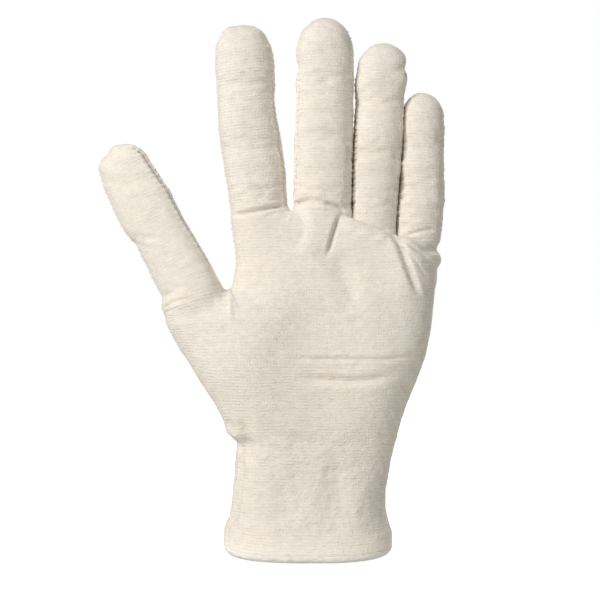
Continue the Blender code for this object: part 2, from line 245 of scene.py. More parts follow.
# The thumb's edges across its own axis, by distance from its root.
THUMB_AT_W = (-24, -12, -5, 0, 5, 8.5, 12, 17, 22.6, 28, 33.8, 37.4, 40.7, 46, 52, 57.4, 62.4, 66)
THUMB_LEFT = (-13.2, -13.2, -13.1, -12.9, -12.5, -10.7, -10.2, -10.3, -9.9, -9.9, -9.9, -11.0,
              -11.9, -12.0, -11.9, -11.6, -10.8, -10.2)
THUMB_RIGHT = (15.5, 15.0, 14.8, 14.5, 14.4, 14.4, 14.4, 14.1, 13.7, 13.4, 13.1, 13.1, 13.1,
               13.0, 12.3, 11.8, 11.4, 11.2)
THUMB_TIP = 74.0
THUMB_DOME = 9.6

# Height of the skin's parting line between hand and fingers, across the hand.
WEB_X = (-40.0, 17.0, 36.0, 58.0)
WEB_Z = (HAND_TOP + 1.3, HAND_TOP + 1.3, HAND_TOP - 7.4, HAND_TOP - 13.8)
# Height that the hand's own form is rounded off at, against the index knuckle.
ROOF_X = (-40.0, -7.0, 18.0, 36.0, 58.0)
ROOF_Z = (-2.0, -0.2, -1.4, -10.2, -18.0)
# How far the hand's index side moves in above the thumb, by height under the knuckle.
HAND_SIDE_AT = (-74.0, -64.0, -56.0, -47.0, -38.0, -31.0, -24.0, -17.0, -8.0, 0.0, 6.0)
HAND_SIDE = (0.0, 0.5, 1.7, 2.2, 2.0, 2.6, 2.7, 1.9, 1.2, 0.0, 0.0)


# ------------------------------------------------------------------- the forms
low_corner = np.array(CAD_BOX[0]) * 1000.0 - PAD
high_corner = np.array(CAD_BOX[1]) * 1000.0 + PAD
low_corner[2] = SKIN_FOOT
grid_size = np.ceil((high_corner - low_corner) / VOXEL).astype(int) + 1
axis_x, axis_y, axis_z = [
    (low_corner[k] + VOXEL * np.arange(grid_size[k])).astype(np.float32) for k in range(3)]
GX = axis_x[:, None, None]
GY = axis_y[None, :, None]
GZ = axis_z[None, None, :]


def window(x0, x1, z0, z1):
    """Index ranges of the grid that cover a region."""
    first_x = max(0, int((x0 - low_corner[0]) / VOXEL))
    last_x = min(grid_size[0], int((x1 - low_corner[0]) / VOXEL) + 2)
    first_z = max(0, int((z0 - low_corner[2]) / VOXEL))
    last_z = min(grid_size[2], int((z1 - low_corner[2]) / VOXEL) + 2)
    return slice(first_x, last_x), slice(0, grid_size[1]), slice(first_z, last_z)


def near_distance(shape):
    """Turn an implicit value, 0 on the surface, into a distance close to it."""
    gx, gy, gz = np.gradient(shape, VOXEL)
    size = np.sqrt(gx * gx + gy * gy + gz * gz)
    return (shape / np.maximum(size, 0.02)).astype(np.float32)


def finger_edges(name, levels):
    """Left and right edge of a finger's cloth at some heights."""
    spec, look = SPEC[name], FINGER_LOOK[name]
    inside = np.clip(levels, spec["z"][0], spec["tip"] - look["dome"])
    centre = np.interp(inside, spec["z"], spec["x"])
    half = np.interp(inside, spec["z"], spec["a"])
    lean = (spec["x"][4] - spec["x"][0]) / (spec["z"][4] - spec["z"][0])
    centre = centre + lean * np.minimum(levels - spec["z"][0], 0.0)
    over = inside - spec["root"][2]
    return (centre - half + np.interp(over, look["at"], look["left"]),
            centre + half + np.interp(over, look["at"], look["right"]))


def tube(left, right, deep, back, px, py, up, down, inner_power=TUBE_POWER):
    """Implicit value of a round-ended tube between two edges."""
    centre = (left + right) / 2.0
    half = (right - left) / 2.0
    power = np.where((px > centre) & (py < back), inner_power, TUBE_POWER)
    ring = (np.abs((px - centre) / half) ** power
            + np.abs((py - back) / deep) ** power) ** (2.0 / power)
    return np.sqrt(ring + (up + down) ** 2) - 1.0


def hand_form():
    """Field of the palm, back and wrist."""
    left, front, right, back = [np.interp(axis_z, PALM_LEVELS, PALM_CUT[:, k])
                                for k in range(4)]
    left = left + np.interp(axis_z - HAND_TOP, HAND_SIDE_AT, HAND_SIDE)
    centre = ((left + right) / 2.0)[None, None, :]
    half = ((right - left) / 2.0)[None, None, :]
    root = SPEC["middle"]["root"]
    ball = swell(GX, GZ, THUMB_ROOT[0] + 22.0, THUMB_ROOT[2] - 21.0, 17.0, 22.0)
    heel = swell(GX, GZ, root[0] + 27.0, root[2] - 79.0, 14.0, 28.0)
    hollow = swell(GX, GZ, root[0], root[2] - 53.0, 17.0, 24.0)
    pads = swell(GX, GZ, root[0] + 12.0, root[2] - 12.0, 34.0, 8.0)
    edge = swell(GX, GZ, root[0] + 40.0, root[2] - 32.0, 13.0, 24.0)
    knuckles = sum(swell(GX, GZ, SPEC[n]["x"][0], SPEC[n]["root"][2] + 3.0, 7.0, 11.0)
                   for n in FINGERS)
    fore = -front[None, None, :] + 2.4 * ball + 1.4 * heel - 1.8 * hollow + 0.9 * pads + 2.8 * edge
    fore = fore + (3.4 * bell(axis_z - 84.0, 26.0)
                   - 2.0 * bell(axis_z - 31.0, 16.0))[None, None, :]
    rear = back[None, None, :] + 0.9 * knuckles
    deep = np.where(GY < 0.0, fore, rear)
    ring = (np.abs((GX - centre) / half) ** HAND_POWER
            + np.abs(GY / deep) ** HAND_POWER) ** (1.0 / HAND_POWER)
    roof = np.interp(axis_x, ROOF_X, ROOF_Z)[:, None, None] + HAND_TOP
    return smooth_max(near_distance(ring - 1.0), GZ - roof, 6.0).astype(np.float32)


def finger_form(name):
    """Field of one finger over its window of the grid."""
    spec = SPEC[name]
    part = window(spec["x"].min() - spec["a"].max() - 9.0,
                  spec["x"].max() + spec["a"].max() + 9.0,
                  spec["root"][2] - 34.0, spec["tip"] + 4.0)
    look = FINGER_LOOK[name]
    levels = axis_z[part[2]]
    left, right = [edge[None, None, :] for edge in finger_edges(name, levels)]
    top = spec["tip"] + look["rise"] - look["dome"]
    deep = np.interp(np.minimum(levels, top), spec["z"], spec["b"])[None, None, :]
    up = np.clip((levels - top) / look["dome"], 0.0, None)
    down = np.clip((spec["z"][0] - BURIED - levels) / ROOT_DOME, 0.0, None)
    value = tube(left, right, deep, look["back"], GX[part[0]], GY, up[None, None, :],
                 down[None, None, :])
    return part, near_distance(value)


def thumb_form():
    """Field of the thumb over its window of the grid."""
    far = THUMB_ROOT + THUMB_ALONG * (THUMB_TIP + 6.0)
    part = window(far[0] - 16.0, THUMB_ROOT[0] + 34.0, THUMB_ROOT[2] - 46.0, far[2] + 8.0)
    dx = GX[part[0]] - THUMB_ROOT[0]
    dz = GZ[:, :, part[2]] - THUMB_ROOT[2]
    across = dx * THUMB_AXIS[0] + dz * THUMB_AXIS[2]
    along = dx * THUMB_ALONG[0] + dz * THUMB_ALONG[2]
    top = THUMB_TIP - THUMB_DOME
    left = np.interp(along, THUMB_AT_W, THUMB_LEFT)
    right = np.interp(along, THUMB_AT_W, THUMB_RIGHT)
    deep = np.interp(np.minimum(along, top), THUMB_DEPTH["z"], THUMB_DEPTH["b"])
    up = np.clip((along - top) / THUMB_DOME, 0.0, None)
    down = np.clip((-13.0 - along) / ROOT_DOME, 0.0, None)
    twist = 0.17 * smooth_step((along + 12.0) / 34.0)
    return part, near_distance(tube(left, right, deep, -0.8, across, GY + twist * across, up, down,
                                    inner_power=THUMB_POWER))


# how far each crack leans sideways with depth, and where it lies at each height
PARTING_LEAN = {("index", "middle"): 0.0, ("middle", "ring"): -0.15, ("ring", "little"): -0.15}
PARTING_AT = {pair: (finger_edges(pair[0], axis_z)[1] + finger_edges(pair[1], axis_z)[0]) / 2.0
              for pair in PAIRS}


def press_sides(name, part, field):
    """Press a finger flat where it meets its neighbours."""
    px = GX[part[0]]
    for pair in PAIRS:
        if name in pair:
            middle = PARTING_AT[pair][None, None, part[2]] + PARTING_LEAN[pair] * GY
            past = (px - middle) if name == pair[0] else (middle - px)
            field = smooth_max(field, past + PARTING, PRESS_ROUNDING)
    return field


# ------------------------------------------------------------- surface meshing
def surface_net(field):
    """Quads on the zero surface of a grid, with vertices in grid steps."""
    inside = field < 0.0
    nx, ny, nz = field.shape
    corners = np.zeros((nx - 1, ny - 1, nz - 1), np.int8)
    for dx, dy, dz in np.ndindex(2, 2, 2):
        corners += inside[dx:nx - 1 + dx, dy:ny - 1 + dy, dz:nz - 1 + dz]
    mixed = (corners > 0) & (corners < 8)
    cells = np.argwhere(mixed)
    index = np.full(mixed.shape, -1, np.int32)
    index[mixed] = np.arange(len(cells), dtype=np.int32)
    total = np.zeros((len(cells), 3))
    hits = np.zeros(len(cells))
    for axis in range(3):
        u, v = [k for k in range(3) if k != axis]
        for i, j in np.ndindex(2, 2):
            start = cells.copy()
            start[:, u] += i
            start[:, v] += j
            end = start.copy()
            end[:, axis] += 1
            va, vb = [field[tuple(place.T)].astype(float) for place in (start, end)]
            cross = (va < 0.0) != (vb < 0.0)
            point = start.astype(float)
            point[:, axis] += np.where(cross, va / np.where(cross, va - vb, 1.0), 0.0)
            total[cross] += point[cross]
            hits[cross] += 1.0
    quads = []
    for axis in range(3):
        u, v = [k for k in range(3) if k != axis]
        low = [slice(None)] * 3
        high = [slice(None)] * 3
        low[axis] = slice(0, -1)
        high[axis] = slice(1, None)
        spots = np.argwhere(inside[tuple(low)] != inside[tuple(high)])
        good = ((spots[:, u] > 0) & (spots[:, v] > 0)
                & (spots[:, u] < field.shape[u] - 1) & (spots[:, v] < field.shape[v] - 1))
        spots = spots[good]
        outward = inside[tuple(spots.T)]
        ring = []
        for du, dv in ((-1, -1), (0, -1), (0, 0), (-1, 0)):
            cell = spots.copy()
            cell[:, u] += du
            cell[:, v] += dv
            ring.append(index[tuple(cell.T)])
        quad = np.stack(ring, 1)
        turn = outward if axis != 1 else ~outward
        quad[~turn] = quad[~turn][:, ::-1]
        quads.append(quad)
    return total / hits[:, None], np.concatenate(quads)


def vertex_normals(points, quads):
    """Area-weighted vertex normals."""
    p = points[quads]
    face = np.cross(p[:, 2] - p[:, 0], p[:, 3] - p[:, 1])
    out = np.zeros_like(points)
    for corner in range(4):
        for axis in range(3):
            out[:, axis] += np.bincount(quads[:, corner], face[:, axis], len(points))
    return out / np.maximum(np.linalg.norm(out, axis=1), 1e-9)[:, None]


def quad_sides(quads):
    """The four sides of every quad, as pairs of vertices."""
    return np.concatenate([quads[:, [0, 1]], quads[:, [1, 2]], quads[:, [2, 3]],
                           quads[:, [3, 0]]])


def mesh_edges(quads):
    """Pairs of vertices that share an edge."""
    return np.unique(np.sort(quad_sides(quads), 1), axis=0)


def spread(values, pairs, rounds, factors):
    """Smooth point values over a mesh."""
    count = len(values)
    degree = np.bincount(pairs.ravel(), minlength=count).astype(float)[:, None]
    for _ in range(rounds):
        for factor in factors:
            total = np.empty_like(values)
            for axis in range(values.shape[1]):
                column = values[:, axis]
                total[:, axis] = (np.bincount(pairs[:, 0], column[pairs[:, 1]], count)
                                  + np.bincount(pairs[:, 1], column[pairs[:, 0]], count))
            values = values + factor * (total / degree - values)
    return values


# ------------------------------------------------------------- folds and seams
class Fold:
    """A fold along a line in the plane of the hand, seen on one side of the cloth.

    points are (x, z) from the anchor.  The line sinks by depth over its width, or stands
    proud where depth is negative.  left and right are (height, width) of the cloth that
    bulges beside the line, seen along its run.
    """

    def __init__(self, anchor, points, depth, width, left=None, right=None, side=-1, fade=3.5):
        self.line = np.array(points, float) + np.array(anchor, float)
        self.depth, self.width = depth, width
        self.left, self.right = left, right
        self.side, self.fade = side, fade
        for _ in range(2):
            a, b = self.line[:-1], self.line[1:]
            inner = np.stack([0.75 * a + 0.25 * b, 0.25 * a + 0.75 * b], 1).reshape(-1, 2)
            self.line = np.concatenate([self.line[:1], inner[1:-1], self.line[-1:]])

    def offset(self, flat, facing):
        """How far each point moves along its normal."""
        total = np.zeros(len(flat))
        margin = 3.0 * max([self.width] + [bulge[1] for bulge in (self.left, self.right) if bulge])
        low = self.line.min(0) - margin
        high = self.line.max(0) + margin
        close = np.flatnonzero(((flat > low) & (flat < high)).all(1) & (facing * self.side > 0.0))
        if not len(close):
            return total
        spots = flat[close]
        near = np.full(len(spots), 1e9)
        signed = np.zeros(len(spots))
        run = np.zeros(len(spots))
        done = 0.0
        for a, b in zip(self.line[:-1], self.line[1:]):
            way = b - a
            length = float(np.hypot(*way))
            if length < 1e-6:
                continue
            share = np.clip(((spots - a) @ way) / length ** 2, 0.0, 1.0)
            gap = spots - (a + share[:, None] * way)
            away = np.hypot(gap[:, 0], gap[:, 1])
            closer = away < near
            near = np.where(closer, away, near)
            turn = way[0] * gap[:, 1] - way[1] * gap[:, 0]
            signed = np.where(closer, np.sign(turn) * away, signed)
            run = np.where(closer, done + share * length, run)
            done += length
        ends = smooth_step(run / self.fade + 0.1) * smooth_step((done - run) / self.fade + 0.1)
        dip = bell(near, self.width)
        shape = -self.depth * dip
        for bulge, sign in ((self.left, 1.0), (self.right, -1.0)):
            if bulge:
                height, width = bulge
                beside = signed * sign
                swelling = height * (1.0 - dip) * bell(np.clip(beside, 0.0, None), width)
                shape = shape + swelling * (beside > 0.0)
        seen = smooth_step((facing[close] * self.side - 0.05) / 0.35)
        total[close] = shape * ends * seen
        return total


def anchor_of(name):
    """(x, z) of a knuckle crease, the middle one for the hand itself."""
    place = SPEC[name]["root"]
    return place[0], place[2]


INDEX, MIDDLE, RING, LITTLE = [anchor_of(name) for name in FINGERS]
THUMB_AT = (THUMB_ROOT[0], THUMB_ROOT[2])
FOLDS = [
    # crease under the index finger
    Fold(INDEX, [(-11.6, -1.9), (-7, -1.3), (-2.9, -0.7), (1.2, 0.1), (5.3, 1.1), (10.7, 2)],
         1.6, 0.85, left=(0.3, 3.0), right=(0.6, 4.0)),
    Fold(INDEX, [(1.2, -3), (5.3, -1.9), (9.9, -0.7)], 0.35, 0.7),
    Fold(INDEX, [(-11.6, 4.2), (-8.7, 3.6), (-5.4, 3.8)], 0.4, 0.7),
    Fold(INDEX, [(3.7, 3.8), (7, 4.2), (10.7, 4.6)], 0.5, 0.8),
    # pinch at the crotch between index and middle
    Fold(INDEX, [(13.2, -0.7), (12.8, -2.8), (11.7, -5.7)], -0.55, 0.7),
    Fold(MIDDLE, [(-9.7, -0.7), (-7.0, -2.8), (-5.8, -6.1), (-5.6, -9.4), (-6.4, -12.7),
         (-8.8, -15.3), (-12.6, -18)],
         -0.75, 1.4, left=(1.15, 8.0), right=(-0.35, 3.0), fade=7.0),
    # creases under the middle finger
    Fold(MIDDLE, [(-12.2, 2.6), (-8.5, 3.6), (-4.7, 4), (-1, 3.4), (3.1, 2.4), (8, 1.1)],
         0.5, 1.0, right=(0.5, 2.0), left=(0.3, 3.0), fade=1.5),
    Fold(MIDDLE, [(-13.2, 2.2), (-10.5, 3.0), (-7.5, 3.8), (-4.7, 4)], 1.1, 0.9, fade=2.5),
    Fold(MIDDLE, [(0.5, 3.0), (4.1, 1.8), (7.5, 0.4), (10.0, -0.8)], 1.2, 0.9, fade=2.5),
    Fold(MIDDLE, [(-11.3, 0.5), (-5.2, 0.8), (1, 0.9), (5.1, 0.4), (9.3, -1.5)], -0.5, 0.6),
    Fold(MIDDLE, [(-1.9, 7.9), (2.3, 7.5), (7.2, 6.7)], 0.3, 0.7),
    # deep groove running down from the crotch between middle and ring
    Fold(MIDDLE, [(9.1, -1.1), (7.2, -3), (6, -5.7), (4.9, -9), (3.7, -12.7), (2.7, -16.8),
         (1.4, -20.1)],
         1.55, 0.9, left=(-0.4, 4.0), right=(0.5, 5.0), fade=8.0),
    Fold(MIDDLE, [(6.4, -17.3), (8.4, -25.8), (11.3, -34.1), (12.6, -44)],
         1.25, 5.0, left=(0.4, 8.0), right=(0.3, 8.0), fade=12.0),
    # crease under the ring finger
    Fold(RING, [(-12, 1.1), (-8.3, -0.5), (-4.2, -2.4), (0.4, -4.2), (6.5, -6.3)],
         0.75, 0.8, right=(0.9, 5.5)),
    Fold(RING, [(-9.5, 6.7), (-5.4, 5.7), (-1.3, 5.5)], 0.3, 0.7),
    # groove from the crotch between ring and little, and the fan of pulls beside it
    Fold(RING, [(6.5, -5.6), (8.6, -8.9), (10.7, -12.7), (12.1, -17.2), (14, -22.5),
         (16.4, -28.3), (18.4, -32.5)],
         1.6, 1.5, left=(0.5, 7.0), right=(0.9, 8.0), fade=9.0),
    Fold(LITTLE, [(-10, -2.2), (-5.9, -4.5), (-1.4, -7.6), (4.8, -11.7)],
         0.55, 0.65, left=(0.3, 1.4)),
    Fold(LITTLE, [(-8.8, -5.1), (-5.1, -8.4), (-1, -13.4), (3.2, -19.5)],
         0.42, 0.65, left=(0.25, 1.2)),
    Fold(LITTLE, [(-9.6, -1.4), (-4.2, -2.4), (1.5, -3.9), (6.9, -6.4)],
         0.5, 0.7, left=(0.25, 1.4)),
    Fold(LITTLE, [(-7.1, -1.8), (-2.6, -0.6), (1.5, 0.8), (7.7, 1.5)],
         0.8, 0.9, left=(0.3, 2.0), right=(0.4, 2.0)),
    Fold(LITTLE, [(-6.7, -10.5), (-3.4, -15.4), (-0.1, -22), (1.9, -28.2)], -0.3, 0.9),
    Fold(LITTLE, [(0.7, -12.5), (4, -12.7), (7.3, -12.3)], 0.6, 0.8, right=(0.4, 1.6)),
    # web and root of the thumb
    Fold(THUMB_AT, [(15.3, 7.6), (15.7, 3.8), (16.1, -0.3), (16.4, -8)],
         -0.65, 1.3, left=(-0.4, 2.4), fade=8.0),
    Fold(THUMB_AT, [(9.5, 5.9), (9.1, 2.2), (9.5, -2.7)], 0.3, 1.3),
    Fold(THUMB_AT, [(12.6, 7.1), (12.2, 3.8), (12.6, 0.1)], 0.15, 1.0),
    Fold(THUMB_AT, [(-13.8, -1.5), (-11.3, -0.5), (-8, 1.4), (-3.9, 2.4), (0.3, 2.6)],
         0.5, 0.8, left=(0.25, 1.8), right=(0.2, 1.8)),
    Fold(THUMB_AT, [(-12.9, -3.6), (-9.6, -2.3), (-5.5, -1.7)], 0.35, 0.6),
    Fold(THUMB_AT, [(-12.9, 3), (-9.6, 4.7), (-5.5, 5.5)], 0.3, 0.6),
    # creases across the palm
    Fold(MIDDLE, [(-20, -60.6), (-8, -61.5), (5.1, -61.5), (15.4, -61.5), (25.7, -61.7),
         (34, -60.8), (40, -59.5)],
         0.42, 1.0, left=(0.5, 3.2), right=(0.3, 2.6), fade=18.0),
    Fold(MIDDLE, [(-12, -69.0), (-1.9, -69.7), (3.9, -69.9), (11.3, -70.3), (17.9, -70.1),
         (24.9, -69.0), (32, -67.5)],
         1.1, 1.9, left=(0.6, 3.2), right=(0.6, 5.0), fade=15.0),
    Fold(MIDDLE, [(13.0, -65.2), (19.0, -65.8), (26.0, -65.0)], -0.25, 1.0, fade=6.0),
    # tuck at the inner end of the thumb's ball, above the cuff
    Fold(THUMB_AT, [(19.8, -46.5), (22.1, -53), (23.5, -58.8), (23.3, -66)],
         1.8, 2.4, left=(0.3, 6.0), right=(0.6, 3.0), fade=6.0),
    Fold(THUMB_AT, [(14.3, -46.4), (16.3, -50.1), (18.8, -53.8)], 0.9, 1.4),
    # slack of the cloth over the cuff
    Fold(MIDDLE, [(4.0, -97), (5.0, -106), (6.0, -116), (7.5, -129)],
         0.6, 4.4, left=(0.3, 5.0), right=(0.2, 5.0), fade=14.0),
    Fold(MIDDLE, [(-13.0, -98), (-14.5, -106), (-14.0, -116)],
         -0.5, 3.4, fade=9.0),
    Fold(MIDDLE, [(-26.0, -89), (-20.0, -92), (-12.0, -94), (-4.0, -93)],
         0.5, 2.6, left=(0.2, 4.0), fade=9.0),
    Fold(THUMB_AT, [(20.9, -55.0), (20.2, -70.0), (19.8, -83.0), (18.4, -92.0)],
         0.9, 0.9, right=(0.3, 1.6), fade=9.0),
    Fold(MIDDLE, [(-24.0, -99), (-10.0, -96), (6.0, -97), (22.0, -95)],
         0.5, 4.0, fade=14.0),
]


def finger_beside(name, points):
    """Distance from a finger's middle line, and its share of the cloth there."""
    spec = SPEC[name]
    left, right = finger_edges(name, points[:, 2])
    beside = points[:, 0] - (left + right) / 2.0
    share = smooth_step((points[:, 2] - spec["root"][2]) / 3.0)
    return beside, share * (np.abs(beside) < (right - left) / 2.0 + 1.5)


def plain_side(name, sign):
    """Whether this is a finger's outer side, which has one seam and no strip."""
    return (name, sign) in (("index", -1.0), ("little", 1.0))


def strip_half(name, height):
    """Half width of the fourchette strip at a height."""
    spec = SPEC[name]
    return STRIP_HALF * smooth_step((spec["tip"] + 1.0 - height) / 42.0)


def puckered(away, along):
    """Seam: a pulled-in line with the cloth swelling between its stitches."""
    turn = along * 2.0 * math.pi / STITCH_PITCH
    pull = 0.68 + 0.32 * np.cos(turn)
    swelling = 0.32 + 0.10 * np.cos(turn + 2.6)
    return -0.55 * bell(away, 0.7) * pull + swelling * bell(np.abs(away) - 1.35, 0.75)


def seam_field(points, normals):
    """Relief of all sewn seams."""
    total = np.zeros(len(points))
    for name in FINGERS:
        _, share = finger_beside(name, points)
        back = FINGER_LOOK[name]["back"]
        top = smooth_step((SPEC[name]["tip"] - 5.0 - points[:, 2]) / 5.0)
        for sign in (-1.0, 1.0):
            side = smooth_step((normals[:, 0] * sign - 0.1) / 0.3) * share * top
            if plain_side(name, sign):
                total += side * puckered(points[:, 1] - back, points[:, 2])
                continue
            half = strip_half(name, points[:, 2])
            if name in ("ring", "little") or (name == "middle" and sign > 0):
                side = SEAM_PRESSED * side
            for edge in (-1.0, 1.0):
                total += side * puckered(points[:, 1] - back - edge * half, points[:, 2])
    across, depth, along = to_thumb(points).T
    inner = smooth_step((normals @ THUMB_AXIS - 0.1) / 0.3) * smooth_step((along - 8.0) / 8.0)
    on_thumb = across < 17.0 + 0.35 * np.clip(along, 0, 90)
    total += inner * 1.5 * puckered(depth - THUMB_SEAM_DEPTH, along) * on_thumb
    # the seam down the thumb side of the hand and wrist
    below = smooth_step((WRIST_SEAM_TOP - points[:, 2]) / 6.0)
    outer = smooth_step((-normals[:, 0] - 0.2) / 0.3)
    total += below * outer * (0.3 * bell(points[:, 1] + 5.0, 3.4)
                              - 0.95 * bell(points[:, 1] + 10.6, 1.15))
    return total


# Dents and bumps (amount, x, z, x radius, z radius) on edges that face left (-1) or right (1).
EDGE_DENTS = (
    (INDEX, 1, ((-0.5, 5.0, 48.0, 5.0, 4.5), (-0.4, 5.0, 70.5, 6.0, 3.0))),
    (INDEX, -1, ((0.9, -13.0, 75.5, 4.0, 2.6),)),
    (MIDDLE, -1, ((-0.8, -11.0, 60.0, 4.5, 2.4), (0.35, -11.0, 54.0, 4.5, 4.0))),
    (RING, 1, ((0.7, 13.0, 57.5, 5.5, 3.2), (-0.8, 11.5, 62.0, 6.0, 1.8))),
    (LITTLE, 1, ((0.6, 10.0, 16.5, 5.0, 6.0), (-1.5, 8.0, -6.6, 6.0, 2.4),
                 (0.5, 8.0, -11.4, 6.0, 2.4), (-0.6, 8.0, -15.4, 6.0, 1.6),
                 (0.4, 8.0, -20.0, 6.0, 3.0))),
    (THUMB_AT, -1, ((-1.2, 17.0, -57.5, 9.0, 2.4), (0.9, 16.0, -52.0, 9.0, 3.0),
                    (-0.9, -35.7, 62.5, 2.6, 2.6), (0.8, -38.4, 58.3, 2.2, 2.2),
                    (0.7, -32.6, 66.4, 2.4, 2.4))),
)


def form_changes(points, normals):
    """Broad dents and swellings of the worn cloth."""
    x, _, z = points.T
    total = np.zeros(len(points))
    fine = ripple(points, 3.1, 41, waves=14, stretch=(0.28, 0.4, 1.0))
    front = smooth_step((-normals[:, 1] + 0.1) / 0.6)
    for name in FINGERS:
        spec = SPEC[name]
        _, share = finger_beside(name, points)
        for crease in spec["creases"]:
            off = z - crease
            pinch = -0.5 * bell(off, 3.2) + 0.25 * bell(off - 9.0, 5.0)
            crumple = 0.17 * fine * bell(off, 6.0)
            total += share * front * (pinch + crumple)
            total += share * 0.45 * bell(off, 6.0) * smooth_step(normals[:, 1] / 0.7)
        root = z - spec["root"][2]
        total += share * front * 0.2 * fine * bell(root - 7.0, 6.0)
    for (x0, z0), side, dents in EDGE_DENTS:
        facing = smooth_step((normals[:, 0] * side - 0.1) / 0.5)
        for amount, dx, dz, rx, rz in dents:
            total += amount * swell(x, z, x0 + dx, z0 + dz, rx, rz) * facing
    across, _, along = to_thumb(points).T
    outer = smooth_step(-(normals @ THUMB_AXIS) / 0.5) * (across < 0)
    total += outer * 0.16 * fine * bell(along - 32.0, 5.0)
    total += outer * -0.5 * bell(along - 9.0, 1.6)
    thumb_front = front * (along > -4.0) * (across < 14.0)
    total += thumb_front * 0.07 * fine * (bell(along - 14.0, 8.0) + bell(along - 36.0, 5.0))
    return total


HEM_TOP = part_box("cuff_hem")[1].z * 1000.0


def sculpt(points, normals):
    """Full displacement of the cloth along its normals."""
    flat = points[:, [0, 2]]
    total = form_changes(points, normals)
    for fold in FOLDS:
        total += fold.offset(flat, normals[:, 1])
    total += seam_field(points, normals)
    height = points[:, 2]
    wrist = smooth_step((66.0 - height) / 24.0) * smooth_step((height - HEM_TOP) / 6.0)
    calm = smooth_step((height - HEM_TOP) / 5.0)
    rear = smooth_step((normals[:, 1] + 0.1) / 0.6)
    upper = smooth_step((height - HAND_TOP) / 5.0)
    # slack of the cloth: soft ripples, more at the wrist and on the back
    for share, size, wavelength, seed, stretch in (
            (calm, 0.20, 24.0, 3, (1.0, 1.0, 0.8)),
            (calm, 0.06, 4.2, 5, (0.7, 1.0, 1.0)),
            (wrist, 0.48, 19.0, 7, (1.0, 1.0, 0.6)),
            (wrist, 0.10, 6.0, 11, (1.0, 1.0, 1.0)),
            (wrist, 0.05, 3.2, 13, (1.0, 1.0, 1.0)),
            (rear * calm, 0.25, 13.0, 17, (0.8, 1.0, 1.2)),
            (upper, 0.15, 7.5, 19, (0.35, 0.6, 1.0))):
        total += share * size * ripple(points, wavelength, seed, stretch=stretch)
    # the cloth widens into the hem
    total += HEM_FLARE * smooth_step((HEM_TOP + HEM_FLARE_RUN - height) / HEM_FLARE_RUN)
    return np.clip(total, DEEPEST, PROUDEST)


class Skin:
    """A meshed and sculpted skin held as arrays, in millimetres."""

    def __init__(self, field, origin):
        points, self.quads = surface_net(field)
        points = points * VOXEL + origin
        pairs = mesh_edges(self.quads)
        points = spread(points, pairs, 8, (0.5, -0.52))
        normals = spread(vertex_normals(points, self.quads), pairs, 3, (0.6,))
        normals /= np.linalg.norm(normals, axis=1)[:, None]
        lift = sculpt(points, normals)
        self.points = points + normals * lift[:, None]
        inset = CLOTH + 0.35 * np.clip(lift, -1.4, 0.6)
        self.inner = self.points - normals * inset[:, None]
        self.normals = vertex_normals(self.points, self.quads)
        self.inner_normals = -vertex_normals(self.inner, self.quads)
        self.centres = points[self.quads].mean(1)
        # how far the cloth lies below its smoothed surround; the knit material darkens the colour there as painted
        # shade in the folds
        broad = spread(lift[:, None], pairs, 14, (0.7,))[:, 0]
        self.hollow = np.clip((broad - lift) / 0.9, -1.0, 1.0)
        self.knit = knit_coordinates(points, normals)


# ---------------------------------------------------------------- knit courses
def knit_coordinates(points, normals):
    """Wale, depth and course coordinates of the cloth."""
    x, y, z = points.T
    course = z.copy()
    wale = x + 0.9 * y * np.sign(normals[:, 0]) * (1.0 - np.abs(normals[:, 1]))
    for name in FINGERS:
        spec = SPEC[name]
        lean = (spec["x"][-1] - spec["x"][0]) / (spec["z"][-1] - spec["z"][0])
        centre = np.interp(z, spec["z"], spec["x"])
        near = np.exp(-(((x - centre) / (spec["a"].max() + 1.5)) ** 8))
        share = near * smooth_step((z - spec["root"][2] + 4.0) / 10.0)
        course = course + share * lean * (x - centre)
    across, _, along = to_thumb(points).T
    share = smooth_step((along + 16.0) / 30.0) * (across < 17.0 + 0.35 * np.clip(along, 0, None))
    course = course * (1.0 - share) + (along + THUMB_ROOT[2]) * share
    wale = wale * (1.0 - share) + across * share
    return np.stack([wale, y, course], 1)


hand_field = hand_form()
whole = hand_field.copy()
finger_fields = {}
for finger in FINGERS:
    part, field = finger_form(finger)
    field = press_sides(finger, part, smooth_min(field, hand_field[part], 3.4))
    finger_fields[finger] = (part, field.astype(np.float32))
    whole[part] = np.minimum(whole[part], field)
part, field = thumb_form()
whole[part] = smooth_min(whole[part], field, 2.6)


def grid_origin(part):
    """Place of a window's first grid point."""
    return low_corner + VOXEL * np.array([axis.start for axis in part])


hand_skin = Skin(whole, low_corner)
finger_skins = {name: Skin(field, grid_origin(part))
                for name, (part, field) in finger_fields.items()}


# -------------------------------------------------------------- cutting pieces
def web_line(x):
    """Height where the hand's skin ends and a finger's begins."""
    return np.interp(x, WEB_X, WEB_Z)


def in_thumb(points):
    """Which points are on the thumb's own cloth."""
    across, _, along = to_thumb(points).T
    return (along > THUMB_START) & (across < 16.8 + 0.35 * (along - THUMB_START))


def hang(points):
    """The wrist's cloth hangs a little lower in the middle than at its two ends."""
    left, _, right, _ = PALM_CUT[0]
    aside = np.abs(points[:, 0] - (left + right) / 2.0) / ((right - left) / 2.0)
    rise = HEM_END_RISE * np.clip(aside, 0.0, 1.15) ** 3.0
    hung = points.copy()
    hung[:, 2] += rise * (1.0 - smooth_step(points[:, 2] / HEM_RISE_HEIGHT))
    return hung


def placed(name, data):
    """New object in the scene."""
    thing = bpy.data.objects.new(name, data)
    bpy.context.scene.collection.objects.link(thing)
    return thing


def finished(name, mesh, knit, material):
    """Object of a mesh with its knit coordinates and its material."""
    attribute = mesh.attributes.new("knit", "FLOAT_VECTOR", "POINT")
    attribute.data.foreach_set("vector", np.array(knit, np.float32).ravel())
    mesh.materials.append(material)
    return placed(name, mesh)


